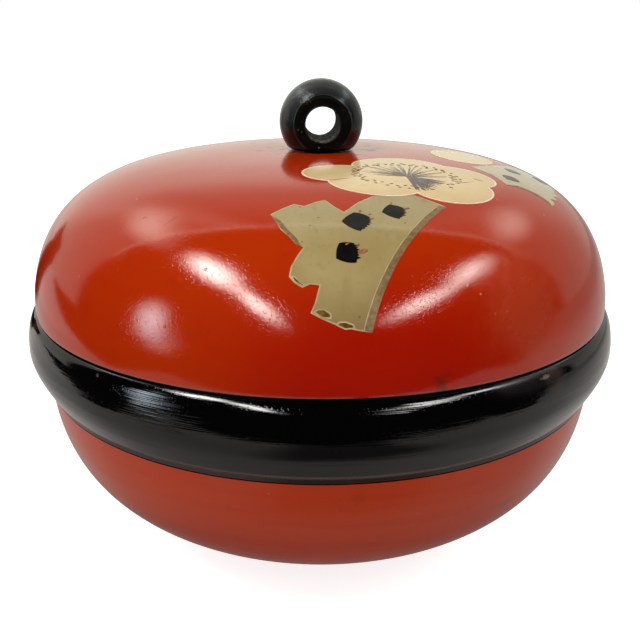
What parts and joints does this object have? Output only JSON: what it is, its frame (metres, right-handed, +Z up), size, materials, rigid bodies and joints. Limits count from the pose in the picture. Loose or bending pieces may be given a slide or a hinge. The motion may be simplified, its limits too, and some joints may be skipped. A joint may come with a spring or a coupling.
{
  "type": "lidded bowl",
  "caption": "Round lidded sweets bowl of turned lacquered wood: red bowl on a foot ring, black half-round rim ring, red domed lid lifted by a bored ball knob.",
  "frame": {"origin": "middle of the foot ring's standing face, on the ground under the bowl's axis", "axes": "+Z up along the turning axis of bowl and lid; +Y along the eye bored through the knob; -Y is the side the picture was taken from"},
  "size_m": [0.21, 0.21, 0.1654],
  "materials": {
    "bowl_red_lacquer": "satin red lacquer outside, black lacquer inside",
    "black_lacquer": "glossy brushed black lacquer",
    "red_lacquer": "glossy red lacquer with painted decoration outside, black lacquer inside",
    "knob_black_lacquer": "glossy black lacquer, worn at the eye",
    "peg_wood": "bare turned wood"
  },
  "bodies": {
    "bowl": {"bowl_body": "bowl_red_lacquer", "rim_ring": "black_lacquer"},
    "lid": {"lid_shell": "red_lacquer", "lid_knob": "knob_black_lacquer", "knob_peg": "peg_wood"}
  },
  "joints": [
    {"name": "lid_lift", "type": "slide", "parent": "bowl", "child": "lid", "axis": [0, 0, 1], "range_m": [0, 0.15]}
  ]
}
